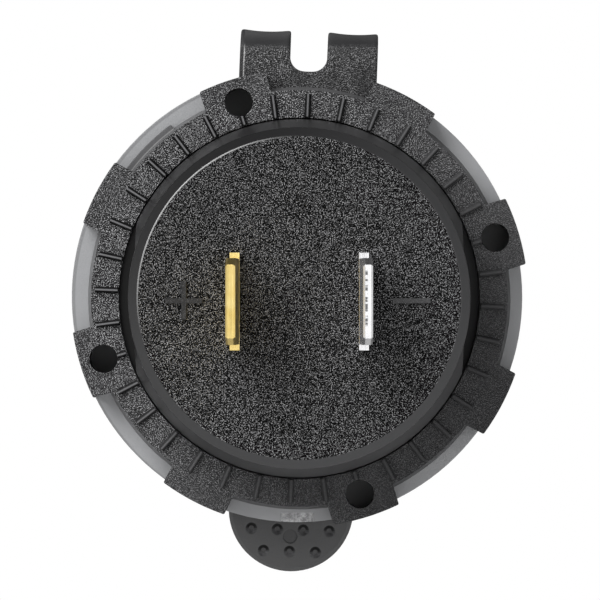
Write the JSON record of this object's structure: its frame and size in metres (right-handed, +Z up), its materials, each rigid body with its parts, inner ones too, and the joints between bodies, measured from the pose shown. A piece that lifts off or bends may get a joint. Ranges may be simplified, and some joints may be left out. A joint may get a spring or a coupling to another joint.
{
  "type": "usb charging socket",
  "caption": "Round panel-mount USB charging socket with a tapered black barrel, blade terminals, a castellated mounting ring, a gray trim ring and a strap-hinged lid.",
  "frame": {"origin": "on the barrel's axis in the panel plane, the rear face of the mounting ring", "axes": "+Y along the barrel towards the blade terminals, front and lid towards -Y, +Z up towards the lid's hinge strap"},
  "size_m": [0.0358, 0.0476, 0.0434],
  "materials": {
    "black_textured": "black thermoplastic with a coarse spark-eroded texture",
    "gray_trim": "satin mid-gray thermoplastic",
    "black_elastomer": "soft black elastomer, satin",
    "brass_blade": "bright stamped brass",
    "tinned_blade": "tin-plated brass, bright",
    "black_face": "fine-textured black thermoplastic",
    "plated_steel": "nickel-plated folded sheet",
    "tongue_plastic": "white moulded insulator",
    "gold_contact": "gold-plated",
    "board_green": "solder-masked circuit board",
    "can_aluminium": "sleeved aluminium can",
    "ferrite": "dark sintered ferrite",
    "copper_wire": "enamelled copper wire",
    "chip_black": "moulded package",
    "fuse_white": "white ceramic body",
    "ceramic_tan": "tan ceramic block"
  },
  "bodies": {
    "socket": {"barrel": "black_textured", "mounting_ring": "black_textured", "trim_ring": "gray_trim", "hinge_strap": "black_elastomer", "positive_terminal": "brass_blade", "negative_terminal": "tinned_blade", "port_face": "black_face", "usb_shell_upper": "plated_steel", "usb_shell_lower": "plated_steel", "usb_tongue_upper": "tongue_plastic", "usb_tongue_lower": "tongue_plastic", "usb_contacts_upper": "gold_contact", "usb_contacts_lower": "gold_contact", "port_board": "board_green", "power_board": "board_green", "board_link": "gold_contact", "input_capacitor": "can_aluminium", "output_capacitor": "can_aluminium", "inductor_core": "ferrite", "inductor_winding": "copper_wire", "converter_chip": "chip_black", "charge_chip": "chip_black", "rectifier_diode": "chip_black", "input_fuse": "fuse_white", "board_resistors": "chip_black", "board_ceramics": "ceramic_tan"},
    "lid": {"lid": "black_elastomer"}
  },
  "joints": [
    {"name": "lid_hinge", "type": "hinge", "parent": "socket", "child": "lid", "pos_m": [-0.00081, -0.00615, 0.02073], "axis": [-0.9992, 0, -0.0393], "range_deg": [0, 170], "deforming": ["hinge_strap"]}
  ]
}
